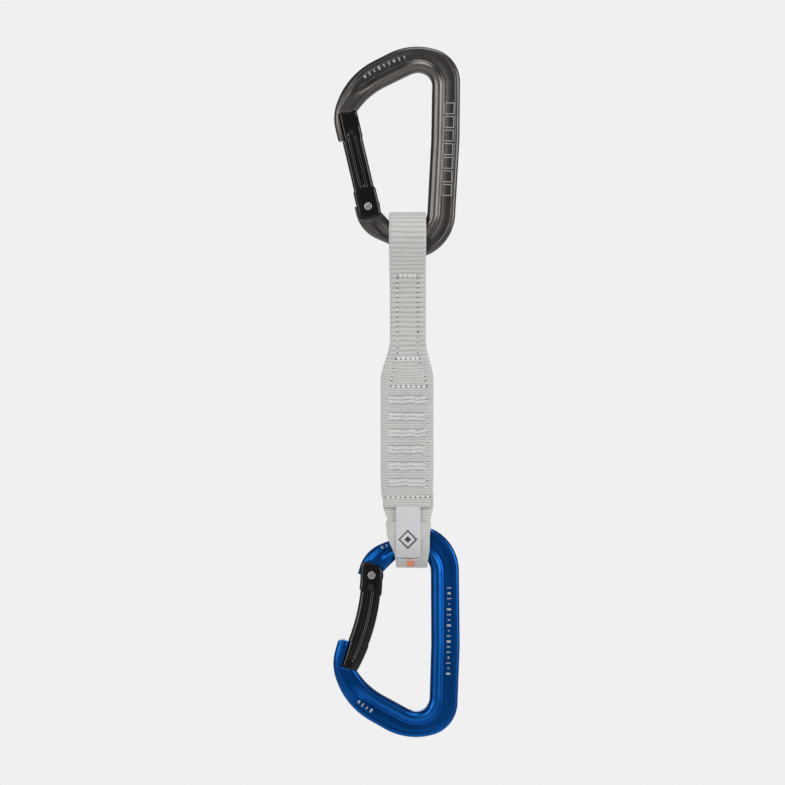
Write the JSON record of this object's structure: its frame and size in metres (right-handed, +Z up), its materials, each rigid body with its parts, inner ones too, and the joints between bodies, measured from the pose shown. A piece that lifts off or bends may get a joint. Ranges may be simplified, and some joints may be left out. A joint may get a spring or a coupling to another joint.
{
  "type": "climbing quickdraw",
  "caption": "Quickdraw: straight-gate and bent-gate keylock carabiners joined by a sewn flat webbing sling, the lower one held by a rubber keeper.",
  "frame": {"origin": "crown of the upper carabiner's basket, on the inside, where a hanger bears", "axes": "+Z up the hanging draw towards the upper carabiner's nose end, +X towards the spines, +Y from the front face through the draw to its back"},
  "size_m": [0.0602, 0.0261, 0.3276],
  "materials": {
    "grey_anodised": "satin grey anodised, hot-forged 7075 aluminium",
    "blue_anodised": "satin blue anodised, hot-forged 7075 aluminium",
    "black_anodised": "satin black anodised",
    "stainless": "peened stainless steel",
    "spring_steel": "drawn spring wire",
    "webbing": "woven polyester webbing, ribbed",
    "thread": "bonded polyester thread",
    "bar_tack_thread": "dense zigzag bar tacks",
    "keeper_rubber": "matt translucent rubber",
    "label_tape": "fine woven label tape",
    "tab_tape": "orange woven tab"
  },
  "bodies": {
    "top_carabiner": {"top_carabiner": "grey_anodised"},
    "top_gate": {"top_gate": "black_anodised", "top_rivet": "stainless", "top_gate_spring": "spring_steel"},
    "top_pusher": {"top_pusher": "stainless"},
    "upper_sling": {"upper_loop_webbing": "webbing", "upper_loop_stitching": "thread"},
    "neck": {"neck_front_webbing": "webbing", "neck_back_webbing": "webbing", "neck_stitching": "thread"},
    "grip": {"grip_front_webbing": "webbing", "grip_back_webbing": "webbing", "grip_core_webbing": "webbing", "grip_bar_tacks": "bar_tack_thread", "grip_edge_stitching": "thread"},
    "lower_loop": {"lower_loop_webbing": "webbing", "keeper": "keeper_rubber", "label": "label_tape", "pull_tab": "tab_tape"},
    "bottom_carabiner": {"bottom_carabiner": "blue_anodised"},
    "bottom_gate": {"bottom_gate": "black_anodised", "bottom_rivet": "stainless", "bottom_gate_spring": "spring_steel"},
    "bottom_pusher": {"bottom_pusher": "stainless"}
  },
  "joints": [
    {"name": "top_gate_hinge", "type": "hinge", "parent": "top_carabiner", "child": "top_gate", "pos_m": [-0.02486, 0, -0.06373], "axis": [0, 1, 0], "range_deg": [0, 32], "stiffness_Nm_per_rad": 0.12, "springref_deg": -34.38},
    {"name": "top_pusher_slide", "type": "slide", "parent": "top_gate", "child": "top_pusher", "axis": [-0.23, 0, 0.9732], "range_m": [0, 0.000914], "deforming": ["top_gate_spring"]},
    {"name": "sling_swing", "type": "hinge", "parent": "top_carabiner", "child": "upper_sling", "pos_m": [-0.0063, 0, -0.07833], "axis": [1, 0, 0], "range_deg": [-90, 90]},
    {"name": "sling_twist", "type": "hinge", "parent": "upper_sling", "child": "neck", "pos_m": [-0.0063, 0, -0.11304], "axis": [0, 0, 1], "range_deg": [-30, 30], "stiffness_Nm_per_rad": 0.02},
    {"name": "sling_flex", "type": "hinge", "parent": "neck", "child": "grip", "pos_m": [-0.0063, 0, -0.13404], "axis": [1, 0, 0], "range_deg": [-45, 45], "stiffness_Nm_per_rad": 0.02},
    {"name": "hem_flex", "type": "hinge", "parent": "grip", "child": "lower_loop", "pos_m": [-0.0063, 0, -0.20829], "axis": [1, 0, 0], "range_deg": [-45, 45], "stiffness_Nm_per_rad": 0.02},
    {"name": "keeper_rock", "type": "hinge", "parent": "lower_loop", "child": "bottom_carabiner", "pos_m": [-0.0063, 0, -0.22553], "axis": [0, 1, 0], "range_deg": [-3, 3], "stiffness_Nm_per_rad": 0.15},
    {"name": "bottom_gate_hinge", "type": "hinge", "parent": "bottom_carabiner", "child": "bottom_gate", "pos_m": [-0.02323, 0, -0.23843], "axis": [0, -1, 0], "range_deg": [0, 32], "stiffness_Nm_per_rad": 0.12, "springref_deg": -34.38},
    {"name": "bottom_pusher_slide", "type": "slide", "parent": "bottom_gate", "child": "bottom_pusher", "axis": [-0.2756, 0, -0.9613], "range_m": [0, 0.000914], "deforming": ["bottom_gate_spring"]}
  ],
  "couplings": [
    {"joint": "top_pusher_slide", "follows": "top_gate_hinge", "m_per_rad": 0.0016},
    {"joint": "bottom_pusher_slide", "follows": "bottom_gate_hinge", "m_per_rad": 0.0016}
  ]
}
